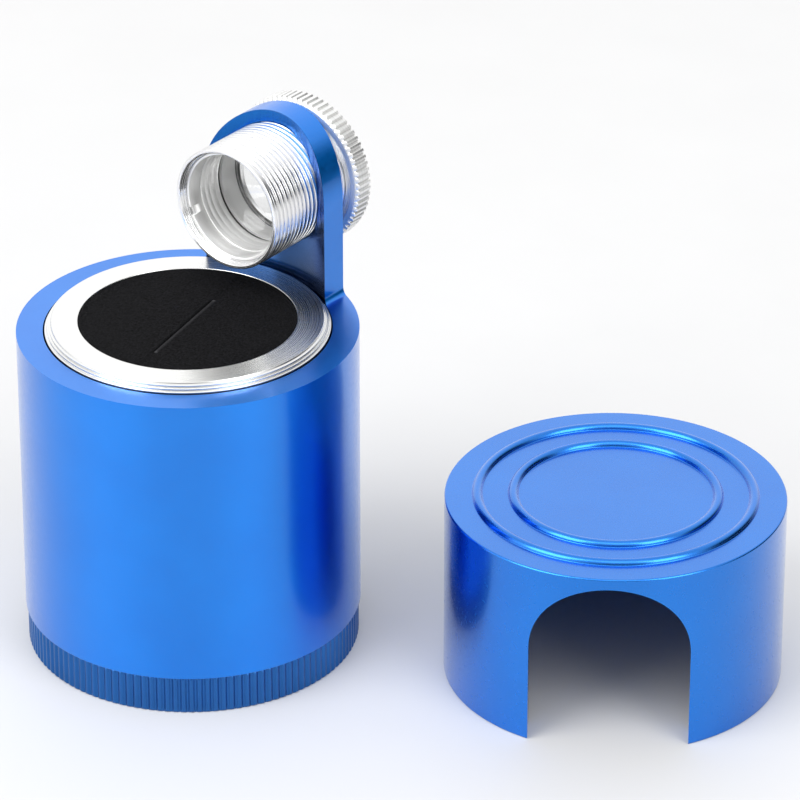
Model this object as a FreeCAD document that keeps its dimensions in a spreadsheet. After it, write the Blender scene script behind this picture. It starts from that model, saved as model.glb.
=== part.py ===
import FreeCAD, Part
import math
import os
import re
import Sketcher

# Ring and gemstone viewer. Millimetres, +Z up. The origin is the centre of the base's underside, on
# the axis of the tube. The lens arm stands at +Y and the lens axis runs along Y through the tube's
# axis. The loose cap stands beside the tube on the same surface.

doc = FreeCAD.newDocument("ring_viewer")
sheet = doc.addObject("Spreadsheet::Sheet", "Sizes")

SIZES = (
    # shell: a tube with one piece of its wall left standing as the lens arm
    ("tube_outer_radius", 25.0),
    ("shell_length", 44.9),
    ("arm_wall", 3.9),
    ("arm_side_margin", 1.9),
    ("arm_root_radius", 1.0),
    ("lens_axis_rise", 15.4),
    ("thread_bore_length", 28.0),
    # base, turned and knurled
    ("base_inset", 0.3),
    ("base_height", 5.9),
    ("base_web", 2.3),
    ("base_edge_chamfer", 0.3),
    ("base_rib_count", 130),
    ("base_rib_depth", 0.32),
    ("base_rib_gap", 0.62),
    ("foot_margin", 4.7),
    ("foot_thickness", 1.1),
    ("screw_circle_radius", 12.0),
    ("screw_count", 3),
    ("screw_radius", 1.5),
    ("screw_head_radius", 2.75),
    ("screw_head_height", 1.65),
    ("screw_length", 6.0),
    # column that carries the ring stage
    ("stage_proud", 1.4),
    ("stage_gap", 0.2),
    ("stage_thread_pitch", 0.5),
    ("stage_thread_depth", 0.25),
    ("stage_thread_turns", 16),
    ("stage_chamfer_width", 1.05),
    ("stage_chamfer_height", 0.45),
    ("column_shoulder_width", 1.3),
    ("column_floor", 5.0),
    ("disc_seat_width", 2.0),
    ("stage_travel", 8.0),
    ("stop_ring_inset", 2.5),
    ("stop_ring_gap", 0.4),
    ("stop_ring_height", 2.5),
    # pad that grips the ring
    ("stage_land_width", 3.85),
    ("cover_thickness", 0.8),
    ("foam_depth", 19.2),
    ("support_thickness", 1.5),
    ("slit_length", 18.2),
    ("slit_width", 0.5),
    ("slit_depth", 13.0),
    ("slit_offset_across", 1.0),
    ("slit_offset_back", 2.3),
    ("slit_turn", 101.6),
    # lens barrel, threaded through the arm, with its knob outside
    ("barrel_radius", 9.3),
    ("barrel_length", 18.55),
    ("barrel_thread_pitch", 0.9),
    ("barrel_thread_depth", 0.32),
    ("barrel_thread_turns", 18),
    ("barrel_wall", 0.85),
    ("mouth_wall", 0.53),
    ("mouth_depth", 1.2),
    ("barrel_lip_width", 0.85),
    ("barrel_lip_length", 1.0),
    ("knob_gap", 0.4),
    ("knob_length", 3.45),
    ("knob_overhang", 2.25),
    ("knob_face_width", 1.0),
    ("knob_bevel_width", 0.6),
    ("knob_bevel_length", 0.25),
    ("knob_edge_chamfer", 0.35),
    ("knob_rib_count", 72),
    ("knob_rib_depth", 0.5),
    ("knob_rib_gap", 0.46),
    ("eye_cup_depth", 1.2),
    ("eye_cup_margin", 0.4),
    ("retaining_ring_length", 2.7),
    ("retaining_ring_wall", 0.4),
    ("spanner_slot_width", 1.3),
    ("spanner_slot_depth", 1.0),
    ("spanner_slot_turn", 22.0),
    ("front_lens_edge", 1.8),
    ("front_lens_curve", 24.0),
    ("lens_gap", 3.3),
    ("lens_spacer_wall", 0.7),
    ("rear_lens_edge", 1.6),
    ("rear_lens_curve", 30.0),
    ("spacer_tube_wall", 0.5),
    # cap
    ("cap_headroom", 0.5),
    ("cap_top", 1.6),
    ("cap_arch_clearance", 0.45),
    ("cap_edge_chamfer", 0.3),
    ("cap_bead_radius", 0.75),
    ("outer_bead_inset", 4.8),
    ("bead_spacing", 5.25),
    ("cap_place_across", 55.74),
    ("cap_place_back", 29.78),
    ("cap_turn", -56.1),
    # fits
    ("running_clearance", 0.05),
    ("cup_clearance", 0.3),
)

# sizes that follow from the ones above
TIED = (
    ("rim_height", "base_height + shell_length"),
    ("arm_half_width", "barrel_radius + arm_side_margin"),
    ("lens_axis_height", "rim_height + lens_axis_rise"),
    ("arm_top", "lens_axis_height + arm_half_width"),
    ("shell_bore", "tube_outer_radius - arm_wall"),
    ("base_radius", "tube_outer_radius - base_inset"),
    ("foot_radius", "base_radius - foot_margin"),
    ("stage_top", "rim_height + stage_proud"),
    ("stage_thread_radius", "shell_bore - stage_gap"),
    ("stage_land_radius", "stage_thread_radius - stage_chamfer_width"),
    ("column_neck_radius", "stage_thread_radius - column_shoulder_width"),
    ("column_foot", "foot_thickness + base_web"),
    ("stop_ring_radius", "tube_outer_radius - stop_ring_inset"),
    ("stop_ring_bore", "column_neck_radius + stop_ring_gap"),
    ("stop_ring_top", "base_height + stop_ring_height"),
    ("column_shoulder", "stop_ring_top + stage_travel + running_clearance"),
    ("pad_radius", "stage_land_radius - stage_land_width"),
    ("pad_floor", "stage_top - cover_thickness - foam_depth"),
    ("column_bore_radius", "pad_radius - disc_seat_width"),
    ("knob_front", "tube_outer_radius + knob_gap"),
    ("knob_shoulder", "knob_front + knob_bevel_length"),
    ("knob_back", "knob_front + knob_length"),
    ("knob_radius", "barrel_radius + knob_overhang"),
    ("knob_face_radius", "barrel_radius + knob_face_width"),
    ("knob_bevel_radius", "knob_radius - knob_bevel_width"),
    ("eye_cup_radius", "barrel_radius - eye_cup_margin"),
    ("barrel_end", "knob_back - eye_cup_depth"),
    ("barrel_front", "barrel_end - barrel_length"),
    ("barrel_bore", "barrel_radius - barrel_wall"),
    ("mouth_bore", "barrel_radius - mouth_wall"),
    ("barrel_lip_bore", "barrel_bore - barrel_lip_width"),
    ("ring_front", "barrel_front + mouth_depth"),
    ("ring_back", "ring_front + retaining_ring_length"),
    ("optics_radius", "barrel_bore - running_clearance"),
    ("retaining_ring_bore", "optics_radius - retaining_ring_wall"),
    ("spacer_tube_bore", "optics_radius - spacer_tube_wall"),
    ("lens_spacer_bore", "optics_radius - lens_spacer_wall"),
    ("front_lens_bulge", "front_lens_curve - sqrt(front_lens_curve ^ 2 - optics_radius ^ 2)"),
    ("rear_lens_bulge", "rear_lens_curve - sqrt(rear_lens_curve ^ 2 - optics_radius ^ 2)"),
    ("rear_lens_back", "barrel_end - barrel_lip_length"),
    ("rear_lens_front", "rear_lens_back - rear_lens_edge - rear_lens_bulge"),
    ("front_lens_back", "rear_lens_front - lens_gap"),
    ("front_lens_front", "front_lens_back - front_lens_edge - 2 * front_lens_bulge"),
    ("spacer_tube_seat", "front_lens_curve - sqrt(front_lens_curve ^ 2 - spacer_tube_bore ^ 2)"),
    ("spacer_tube_back", "front_lens_front + spacer_tube_seat - running_clearance"),
    ("front_lens_seat", "front_lens_curve - sqrt(front_lens_curve ^ 2 - lens_spacer_bore ^ 2)"),
    ("lens_spacer_front", "front_lens_back - front_lens_seat"),
    ("rear_lens_seat", "rear_lens_curve - sqrt(rear_lens_curve ^ 2 - lens_spacer_bore ^ 2)"),
    ("lens_spacer_back", "rear_lens_front + rear_lens_seat"),
    ("arch_half_width", "arm_half_width + cap_arch_clearance"),
    ("cap_roof", "lens_axis_rise + arm_half_width + cap_headroom"),
    ("cap_height", "cap_roof + cap_top"),
    ("outer_bead_place", "tube_outer_radius - outer_bead_inset"),
    ("inner_bead_place", "outer_bead_place - bead_spacing"),
)
size = dict(SIZES)
tied = dict(TIED)
for row, (name, value) in enumerate(SIZES, start=1):
    sheet.set("A%d" % row, name)
    sheet.set("B%d" % row, str(value))
    sheet.setAlias("B%d" % row, name)
doc.recompute()

ALONG_Y = FreeCAD.Rotation(FreeCAD.Vector(1, 0, 0), -90)


def bound(text):
    """An expression with its tied names written out and each size's name pointed at its cell in the sheet."""
    def written(found):
        name = found.group(0)
        return "(%s)" % bound(tied[name]) if name in tied else "Sizes." + name
    return re.sub(r"[a-z]+(?:_[a-z]+)+", written, text)


def bind(thing, **fields):
    for field, text in fields.items():
        thing.setExpression(field, bound(text))


def place(thing, x="0", y="0", z="0", turn=None):
    """Puts a thing at bound coordinates, turned first where a rotation is given."""
    if turn is not None:
        thing.Placement = FreeCAD.Placement(FreeCAD.Vector(0, 0, 0), turn)
    for axis, text in (("x", x), ("y", y), ("z", z)):
        thing.setExpression("Placement.Base." + axis, bound(text))


# Part primitives and booleans

def primitive(kind, name, x="0", y="0", z="0", turn=None, **fields):
    thing = doc.addObject("Part::" + kind, name)
    bind(thing, **fields)
    place(thing, x, y, z, turn)
    return thing


def cylinder(name, radius, height, **where):
    return primitive("Cylinder", name, Radius=radius, Height=height, **where)


def fuse(name, *things):
    joined = doc.addObject("Part::MultiFuse", name)
    joined.Shapes = list(things)
    return joined


def common(name, *things):
    shared = doc.addObject("Part::MultiCommon", name)
    shared.Shapes = list(things)
    return shared


def cut(name, base, tool):
    left = doc.addObject("Part::Cut", name)
    left.Base = base
    left.Tool = tool
    return left


# PartDesign bodies and sketches

def new_body(name):
    return doc.addObject("PartDesign::Body", name)


def sketch_on(body, name, role):
    plane = next(item for item in body.Origin.OriginFeatures if item.Role == role)
    sketch = body.newObject("Sketcher::SketchObject", name)
    sketch.AttachmentSupport = [(plane, "")]
    sketch.MapMode = "FlatFace"
    return sketch


def outline(sketch, corners):
    """A closed outline of straight sides. Each corner is held by two bound distances."""
    count = len(corners)
    middle = FreeCAD.Vector(40, 40, 0)
    around = []
    for i in range(count):
        about = FreeCAD.Rotation(FreeCAD.Vector(0, 0, 1), 360 * i / count)
        around.append(middle + about.multVec(FreeCAD.Vector(10, 0, 0)))
    first = sketch.GeometryCount
    for i in range(count):
        sketch.addGeometry(Part.LineSegment(around[i], around[(i + 1) % count]), False)
    for i in range(count):
        sketch.addConstraint(Sketcher.Constraint("Coincident", first + i, 2, first + (i + 1) % count, 1))
    for i, (across, up) in enumerate(corners):
        for kind, start, text in (("DistanceX", around[i].x, across), ("DistanceY", around[i].y, up)):
            index = sketch.addConstraint(Sketcher.Constraint(kind, -1, 1, first + i, 1, start))
            sketch.setExpression("Constraints[%d]" % index, bound(text))


def revolve(body, corners, name="Turned"):
    """Turns an outline of (radius, height) corners about the body's Z axis."""
    sketch = sketch_on(body, name + "Profile", "XZ_Plane")
    outline(sketch, corners)
    turned = body.newObject("PartDesign::Revolution", name)
    turned.Profile = sketch
    turned.ReferenceAxis = (sketch, ["V_Axis"])
    turned.Angle = 360.0
    sketch.Visibility = False
    return turned


def turned_body(name, corners, along_lens=False):
    body = new_body(name)
    revolve(body, corners)
    if along_lens:
        place(body, z="lens_axis_height", turn=ALONG_Y)
    return body


def thread_rings(body, name, mouth, root, first, pitch, turns):
    """Ring grooves at the thread's pitch: a V from the mouth radius to the root radius, repeated."""
    sketch = sketch_on(body, name + "Profile", "XZ_Plane")
    half = "%s * 0.45" % pitch
    outline(sketch, ((mouth, "%s - %s" % (first, half)), (root, first), (mouth, "%s + %s" % (first, half))))
    groove = body.newObject("PartDesign::Groove", name)
    groove.Profile = sketch
    groove.ReferenceAxis = (sketch, ["V_Axis"])
    groove.Angle = 360.0
    pattern = body.newObject("PartDesign::LinearPattern", name + "Turns")
    pattern.Originals = [groove]
    pattern.Direction = (sketch, ["V_Axis"])
    bind(pattern, Length="%s * (%s - 1)" % (pitch, turns), Occurrences=turns)
    body.Tip = pattern
    return pattern


def ribs(body, name, radius, depth, gap, bottom, top, count):
    """Straight knurl: a V cut along the rim, repeated round the axis."""
    sketch = sketch_on(body, name + "Profile", "XY_Plane")
    outline(sketch, (
        ("%s + %s" % (radius, depth), "0 - %s" % gap),
        ("%s + %s" % (radius, depth), gap),
        ("%s - %s" % (radius, depth), gap + " * 0.12"),
        ("%s - %s" % (radius, depth), "0 - %s * 0.12" % gap),
    ))
    sketch.setExpression("AttachmentOffset.Base.z", bound(bottom))
    pocket = body.newObject("PartDesign::Pocket", name)
    pocket.Profile = sketch
    pocket.Reversed = True
    bind(pocket, Length="%s - %s" % (top, bottom))
    pattern = body.newObject("PartDesign::PolarPattern", name + "Around")
    pattern.Originals = [pocket]
    axis = next(item for item in body.Origin.OriginFeatures if item.Role == "Z_Axis")
    pattern.Axis = (axis, [""])
    pattern.Angle = 360.0
    bind(pattern, Occurrences=count)
    body.Tip = pattern
    return pattern


def spread(name, thing, count, radius):
    """Copies of a thing evenly round the tube's axis, as one group of solids."""
    copies = []
    for i in range(size[count]):
        copy = doc.addObject("Part::Feature", "%s%d" % (name, i + 1))
        copies.append((copy, 360.0 * i / size[count]))
    doc.recompute()
    for copy, turn in copies:
        copy.Shape = thing.Shape.copy()
        about = FreeCAD.Rotation(FreeCAD.Vector(0, 0, 1), turn)
        copy.Placement = FreeCAD.Placement(about.multVec(FreeCAD.Vector(size[radius], 0, 0)), about)
    return [copy for copy, turn in copies]


def screw(name, clearance="0"):
    """A countersunk screw on the Z axis, head down, made larger by a clearance for its own hole."""
    shank = cylinder(
        name + "Shank", "screw_radius + " + clearance, "screw_length",
        z="foot_thickness",
    )
    head = primitive(
        "Cone", name + "Head", z="foot_thickness",
        Radius1="screw_head_radius + " + clearance, Radius2="screw_radius + " + clearance,
        Height="screw_head_height",
    )
    return fuse(name, shank, head)


# base

def base_ring():
    body = turned_body("base_ring_blank", (
        ("foot_radius + running_clearance", "0"),
        ("base_radius - base_edge_chamfer", "0"),
        ("base_radius", "base_edge_chamfer"),
        ("base_radius", "base_height - base_edge_chamfer"),
        ("base_radius - base_edge_chamfer", "base_height"),
        ("column_neck_radius + running_clearance", "base_height"),
        ("column_neck_radius + running_clearance", "column_foot"),
        ("0", "column_foot"),
        ("0", "foot_thickness"),
        ("foot_radius + running_clearance", "foot_thickness"),
    ))
    ribs(body, "BaseRibs", "base_radius", "base_rib_depth", "base_rib_gap", "0", "base_height",
         "base_rib_count")
    holes = fuse("base_holes", *spread("base_hole", screw("base_hole_tool", "running_clearance"),
                                       "screw_count", "screw_circle_radius"))
    return cut("base_ring", body, holes)


def base_screws():
    return fuse("base_screws", *spread("base_screw", screw("base_screw_blank"),
                                       "screw_count", "screw_circle_radius"))


def foot_pad():
    return cylinder("foot_pad", "foot_radius", "foot_thickness")


# column and pad

def stage_column():
    body = turned_body("column_blank", (
        ("0", "column_foot"),
        ("column_neck_radius", "column_foot"),
        ("column_neck_radius", "column_shoulder"),
        ("stage_thread_radius", "column_shoulder"),
        ("stage_thread_radius", "stage_top - stage_chamfer_height"),
        ("stage_land_radius", "stage_top"),
        ("pad_radius", "stage_top"),
        ("pad_radius", "pad_floor - support_thickness"),
        ("column_bore_radius", "pad_floor - support_thickness"),
        ("column_bore_radius", "column_foot + column_floor"),
        ("0", "column_foot + column_floor"),
    ))
    first = "stage_top - stage_chamfer_height - stage_thread_pitch * (stage_thread_turns - 0.35)"
    thread_rings(
        body, "StageThread", "stage_thread_radius + stage_thread_depth * 0.1",
        "stage_thread_radius - stage_thread_depth", first, "stage_thread_pitch", "stage_thread_turns",
    )
    holes = fuse("column_holes", *spread("column_hole", screw("column_hole_tool", "running_clearance"),
                                         "screw_count", "screw_circle_radius"))
    return cut("stage_column", body, holes)


def slit_tool(name, depth):
    """The slit, cut from above and set at its own angle."""
    blade = primitive(
        "Box", name, Length="slit_length", Width="slit_width", Height=depth + " + 1",
        turn=FreeCAD.Rotation(FreeCAD.Vector(0, 0, 1), size["slit_turn"]),
        x="slit_offset_across - cos(slit_turn * 1deg) * slit_length / 2"
          " + sin(slit_turn * 1deg) * slit_width / 2",
        y="-slit_offset_back - sin(slit_turn * 1deg) * slit_length / 2"
          " - cos(slit_turn * 1deg) * slit_width / 2",
        z="stage_top - " + depth,
    )
    return blade


def support_disc():
    return cylinder("support_disc", "pad_radius - running_clearance", "support_thickness",
                    z="pad_floor - support_thickness")


def foam_core():
    block = cylinder("foam_block", "pad_radius - cup_clearance", "foam_depth", z="pad_floor")
    return cut("foam_core", block, slit_tool("foam_slit", "slit_depth"))


def flocked_cover():
    disc = cylinder("cover_disc", "pad_radius - running_clearance", "cover_thickness",
                    z="stage_top - cover_thickness")
    return cut("flocked_cover", disc, slit_tool("cover_slit", "(cover_thickness + 1)"))


# shell

def arm_profile(name, half_width, root):
    """The arm's outline as a thick plate towards +Y: a post with a round head and a filleted foot."""
    reach = "tube_outer_radius + 1"
    post = primitive(
        "Box", name + "Post", x="-" + half_width, z="rim_height", Length="2 * " + half_width, Width=reach,
        Height="lens_axis_rise",
    )
    head = cylinder(name + "Head", half_width, reach, z="lens_axis_height", turn=ALONG_Y)
    pieces = [post, head]
    for side, corner, centre in (
        ("Right", half_width, "%s + %s" % (half_width, root)),
        ("Left", "-%s - %s" % (half_width, root), "-%s - %s" % (half_width, root)),
    ):
        block = primitive("Box", name + side + "Block", x=corner, z="rim_height",
                          Length=root, Width=reach, Height=root)
        round_tool = cylinder(name + side + "Round", root, reach + " + 1", x=centre, z="rim_height + " + root,
                              turn=ALONG_Y)
        pieces.append(cut(name + side + "Fillet", block, round_tool))
    return pieces


def body_shell():
    stock = cylinder("shell_stock", "tube_outer_radius", "arm_top - base_height", z="base_height")
    lower = cylinder("shell_lower", "tube_outer_radius + 1", "shell_length", z="base_height")
    keep = fuse("shell_keep", lower, *arm_profile("arm", "arm_half_width", "arm_root_radius"))
    blank = common("shell_blank", stock, keep)
    recess = cylinder("stop_recess", "stop_ring_radius + running_clearance", "stop_ring_height + 1",
                      z="base_height - 1")
    thread = cylinder("thread_bore", "stage_thread_radius + running_clearance", "thread_bore_length + 1",
                      z="base_height")
    upper = cylinder("upper_bore", "shell_bore", "lens_axis_height + arm_half_width",
                     z="base_height + thread_bore_length")
    lens = cylinder("lens_hole", "barrel_radius + running_clearance", "tube_outer_radius + 2",
                    z="lens_axis_height", turn=ALONG_Y)
    return cut("body_shell", blank, fuse("shell_bores", recess, thread, upper, lens))


def stop_ring():
    return turned_body("stop_ring", (
        ("stop_ring_bore", "base_height"),
        ("stop_ring_radius", "base_height"),
        ("stop_ring_radius", "stop_ring_top"),
        ("stop_ring_bore", "stop_ring_top"),
    ))


# lens barrel, knob and optics, all turned about the lens axis

def lens_barrel():
    body = turned_body("lens_barrel", (
        ("mouth_bore", "barrel_front"),
        ("barrel_radius", "barrel_front"),
        ("barrel_radius", "barrel_end"),
        ("barrel_lip_bore", "barrel_end"),
        ("barrel_lip_bore", "rear_lens_back"),
        ("barrel_bore", "rear_lens_back"),
        ("barrel_bore", "ring_front"),
        ("mouth_bore", "ring_front"),
    ), along_lens=True)
    thread_rings(
        body, "BarrelThread", "barrel_radius + barrel_thread_depth * 0.1",
        "barrel_radius - barrel_thread_depth", "barrel_front + barrel_thread_pitch",
        "barrel_thread_pitch", "barrel_thread_turns",
    )
    return body


def focus_knob():
    body = turned_body("focus_knob", (
        ("barrel_radius + running_clearance", "knob_front"),
        ("knob_face_radius", "knob_front"),
        ("knob_bevel_radius", "knob_shoulder"),
        ("knob_radius", "knob_shoulder + knob_edge_chamfer"),
        ("knob_radius", "knob_back - knob_edge_chamfer"),
        ("knob_bevel_radius", "knob_back"),
        ("eye_cup_radius", "knob_back"),
        ("barrel_lip_bore", "barrel_end"),
        ("barrel_radius + running_clearance", "barrel_end"),
    ), along_lens=True)
    ribs(body, "KnobRibs", "knob_radius", "knob_rib_depth", "knob_rib_gap", "knob_shoulder", "knob_back",
         "knob_rib_count")
    return body


def retaining_ring():
    blank = turned_body("retaining_blank", (
        ("retaining_ring_bore", "ring_front"),
        ("optics_radius", "ring_front"),
        ("optics_radius", "ring_back"),
        ("retaining_ring_bore", "ring_back"),
    ), along_lens=True)
    slot = primitive(
        "Box", "spanner_slot", Length="2 * barrel_radius", Width="spanner_slot_width",
        Height="spanner_slot_depth + 1",
        turn=ALONG_Y.multiply(FreeCAD.Rotation(FreeCAD.Vector(0, 0, 1), size["spanner_slot_turn"])),
        x="-cos(spanner_slot_turn * 1deg) * barrel_radius"
          " + sin(spanner_slot_turn * 1deg) * spanner_slot_width / 2",
        y="ring_front - 1",
        z="lens_axis_height + sin(spanner_slot_turn * 1deg) * barrel_radius"
          " + cos(spanner_slot_turn * 1deg) * spanner_slot_width / 2",
    )
    return cut("retaining_ring", blank, slot)


def spacer_tube():
    return turned_body("spacer_tube", (
        ("spacer_tube_bore", "ring_back"),
        ("optics_radius", "ring_back"),
        ("optics_radius", "spacer_tube_back"),
        ("spacer_tube_bore", "spacer_tube_back"),
    ), along_lens=True)


def lens_spacer():
    return turned_body("lens_spacer", (
        ("lens_spacer_bore", "lens_spacer_front"),
        ("optics_radius", "lens_spacer_front"),
        ("optics_radius", "lens_spacer_back"),
        ("lens_spacer_bore", "lens_spacer_back"),
    ), along_lens=True)


def lens_disc(name, front, back):
    return cylinder(name, "optics_radius", "%s - %s" % (back, front), y=front, z="lens_axis_height",
                    turn=ALONG_Y)


def lens_ball(name, curve, middle):
    return primitive("Sphere", name, Radius=curve, y=middle, z="lens_axis_height", turn=ALONG_Y)


def front_lens():
    return common(
        "front_lens", lens_disc("front_lens_disc", "front_lens_front", "front_lens_back"),
        lens_ball("front_lens_near", "front_lens_curve", "front_lens_front + front_lens_curve"),
        lens_ball("front_lens_far", "front_lens_curve", "front_lens_back - front_lens_curve"),
    )


def rear_lens():
    return common(
        "rear_lens", lens_disc("rear_lens_disc", "rear_lens_front", "rear_lens_back"),
        lens_ball("rear_lens_near", "rear_lens_curve", "rear_lens_front + rear_lens_curve"),
    )


# cap

def cap_shell():
    body = turned_body("cap_blank", (
        ("shell_bore", "0"),
        ("tube_outer_radius", "0"),
        ("tube_outer_radius", "cap_height - cap_edge_chamfer"),
        ("tube_outer_radius - cap_edge_chamfer", "cap_height"),
        ("0", "cap_height"),
        ("0", "cap_roof"),
        ("shell_bore", "cap_roof"),
    ))
    for name, radius in (("OuterBead", "outer_bead_place"), ("InnerBead", "inner_bead_place")):
        bead = body.newObject("PartDesign::AdditiveTorus", name)
        bind(bead, Radius1=radius, Radius2="cap_bead_radius")
        place(bead, z="cap_height")
        body.Tip = bead
    reach = "tube_outer_radius + 1"
    post = primitive("Box", "arch_post", x="0", y="-arch_half_width", z="-1", Length=reach,
                     Width="2 * arch_half_width", Height="lens_axis_rise + 1")
    head = cylinder("arch_head", "arch_half_width", reach, z="lens_axis_rise",
                    turn=FreeCAD.Rotation(FreeCAD.Vector(0, 1, 0), 90))
    cap = cut("cap_shell", body, fuse("arch", post, head))
    place(cap, x="cap_place_across", y="cap_place_back",
          turn=FreeCAD.Rotation(FreeCAD.Vector(0, 0, 1), size["cap_turn"]))
    return cap


MAKERS = (
    base_ring, base_screws, foot_pad, stage_column, support_disc, foam_core, flocked_cover,
    body_shell, stop_ring, lens_barrel, focus_knob, retaining_ring, spacer_tube,
    front_lens, lens_spacer, rear_lens, cap_shell,
)
nodes = {}
for maker in MAKERS:
    part = maker()
    part.Label = maker.__name__
    nodes[maker.__name__] = part
    print("made", maker.__name__)
doc.recompute()

for thing in doc.Objects:
    if "Invalid" in thing.State or "Error" in thing.State:
        raise RuntimeError("%s did not build: %s" % (thing.Name, thing.State))
for name, part in nodes.items():
    if part.Shape.isNull() or not part.Shape.isValid():
        raise RuntimeError("%s has no valid shape" % name)

os.makedirs("parts", exist_ok=True)
for name, part in nodes.items():
    part.Shape.exportStep("parts/%s.step" % name)
    print("%-16s %9.1f mm3  %d solids" % (name, part.Shape.Volume, len(part.Shape.Solids)))
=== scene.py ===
import math
import bpy
import bmesh
import numpy as np
from mathutils import Matrix, Vector


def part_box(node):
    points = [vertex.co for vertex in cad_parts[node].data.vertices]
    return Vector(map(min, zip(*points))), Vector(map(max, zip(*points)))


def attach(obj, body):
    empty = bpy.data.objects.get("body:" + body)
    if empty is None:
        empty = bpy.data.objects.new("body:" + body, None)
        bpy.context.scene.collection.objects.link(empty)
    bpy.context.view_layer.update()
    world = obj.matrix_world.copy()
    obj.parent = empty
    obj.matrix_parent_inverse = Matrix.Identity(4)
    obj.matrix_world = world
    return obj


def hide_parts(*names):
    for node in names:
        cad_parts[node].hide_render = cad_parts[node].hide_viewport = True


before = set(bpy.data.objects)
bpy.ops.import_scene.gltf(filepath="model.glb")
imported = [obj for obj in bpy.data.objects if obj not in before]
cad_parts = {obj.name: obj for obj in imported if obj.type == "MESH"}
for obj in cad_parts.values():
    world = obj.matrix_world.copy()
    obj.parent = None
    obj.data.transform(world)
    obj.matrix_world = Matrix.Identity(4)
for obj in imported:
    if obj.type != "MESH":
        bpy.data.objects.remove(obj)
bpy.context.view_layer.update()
scene = bpy.context.scene
mm = 0.001
print("frame loaded:", len(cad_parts), "nodes")


def nodeBox(node):
    low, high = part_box(node)
    return low / mm, high / mm  # millimetres, as in the dictionaries of the pieces


# the lens axis runs along Y at this height, through the tube's own axis
barrelLow, barrelHigh = nodeBox("lens_barrel")
lensHeight = (barrelLow.z + barrelHigh.z) / 2
alongLens = Matrix.Translation((0, 0, lensHeight * mm)) @ Matrix.Rotation(-math.pi / 2, 4, "X")


def softCorners(corners, closed=True, steps=5):
    # each corner is (radius, height, rounding)
    points = []
    count = len(corners)
    for i, (radius, height, rounding) in enumerate(corners):
        here = Vector((radius, height))
        atEnd = not closed and i in (0, count - 1)
        if rounding == 0 or atEnd:
            points.append(here)
            continue
        before = (Vector(corners[i - 1][:2]) - here).normalized()
        after = (Vector(corners[(i + 1) % count][:2]) - here).normalized()
        half = before.angle(after) / 2
        centre = here + (before + after).normalized() * rounding / math.sin(half)
        reach = rounding / math.tan(half)
        first = here + before * reach - centre
        last = here + after * reach - centre
        for k in range(steps + 1):
            points.append(centre + first.slerp(last, k / steps) * rounding)
    return points


def arc(radius, x, z, start, end, steps):
    # points on a circle about (x, z), both ends included
    angles = (start + (end - start) * k / steps for k in range(steps + 1))
    return [(x + radius * math.cos(a), z + radius * math.sin(a)) for a in angles]


def refine(points, low, high, step, closed=True, slack=1e-6):
    # adds rows on the stretches between two heights, fine enough for a thread
    finer = []
    count = len(points)
    for i in range(count):
        a = points[i]
        finer.append(a)
        if not closed and i == count - 1:
            break
        b = points[(i + 1) % count]
        inside = min(a.y, b.y) >= low - slack and max(a.y, b.y) <= high + slack
        rows = int(math.ceil((b - a).length / step))
        if inside and rows > 1:
            finer.extend(a.lerp(b, k / rows) for k in range(1, rows))
    return finer


def newPiece(name, verts, faces):
    mesh = bpy.data.meshes.new(name)
    mesh.from_pydata(verts, [], faces)
    piece = bpy.data.objects.new(name, mesh)
    scene.collection.objects.link(piece)
    return piece


def cleanMesh(piece, merge=1e-7):
    work = bmesh.new()
    work.from_mesh(piece.data)
    bmesh.ops.remove_doubles(work, verts=work.verts, dist=merge)
    bmesh.ops.dissolve_degenerate(work, edges=work.edges, dist=merge)
    bmesh.ops.recalc_face_normals(work, faces=work.faces)
    work.to_mesh(piece.data)
    work.free()


def spin(name, points, steps, closed=True, warp=None):
    # turns an outline about Z; warp may shift radius and height for ribs, threads and slots
    count = len(points)
    radius = np.repeat(np.array([p.x for p in points])[:, None], steps, axis=1)
    height = np.repeat(np.array([p.y for p in points])[:, None], steps, axis=1)
    turn = np.broadcast_to(np.arange(steps) * 2 * np.pi / steps, radius.shape)
    if warp:
        radius, height = warp(radius, height, turn)
    verts = np.stack([radius * np.cos(turn), radius * np.sin(turn), height], -1).reshape(-1, 3) * mm
    rows = np.arange(count if closed else count - 1)[:, None] * steps
    nextRows = (np.arange(1, count + 1 if closed else count) % count)[:, None] * steps
    here = np.arange(steps)[None, :]
    after = (here + 1) % steps
    faces = np.stack([rows + here, rows + after, nextRows + after, nextRows + here], -1).reshape(-1, 4)
    piece = newPiece(name, verts.tolist(), faces.tolist())
    cleanMesh(piece)
    return piece


def prism(name, outline, low, high):
    # an outline in X and Z, pushed along Y, for cutting
    count = len(outline)
    verts = [(p[0] * mm, y * mm, p[1] * mm) for y in (low, high) for p in outline]
    faces = [list(range(count)), list(range(2 * count - 1, count - 1, -1))]
    faces += [[i, i + count, (i + 1) % count + count, (i + 1) % count] for i in range(count)]
    piece = newPiece(name, verts, faces)
    cleanMesh(piece)
    return piece


def settle(piece):
    # makes the modifiers' result the piece's own mesh
    bpy.context.view_layer.update()
    graph = bpy.context.evaluated_depsgraph_get()
    done = bpy.data.meshes.new_from_object(piece.evaluated_get(graph))
    piece.modifiers.clear()
    old = piece.data
    piece.data = done
    bpy.data.meshes.remove(old)


def carve(piece, *tools):
    for tool in tools:
        cutter = piece.modifiers.new("cut", "BOOLEAN")
        cutter.operation = "DIFFERENCE"
        cutter.solver = "EXACT"
        cutter.object = tool
        settle(piece)
        bpy.data.objects.remove(tool)
    cleanMesh(piece, merge=2e-6)


def breakEdges(piece, width, steps=3, angle=38):
    bevel = piece.modifiers.new("edges", "BEVEL")
    bevel.limit_method = "ANGLE"
    bevel.angle_limit = math.radians(angle)
    bevel.width = width * mm
    bevel.segments = steps
    bevel.use_clamp_overlap = True
    settle(piece)


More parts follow.
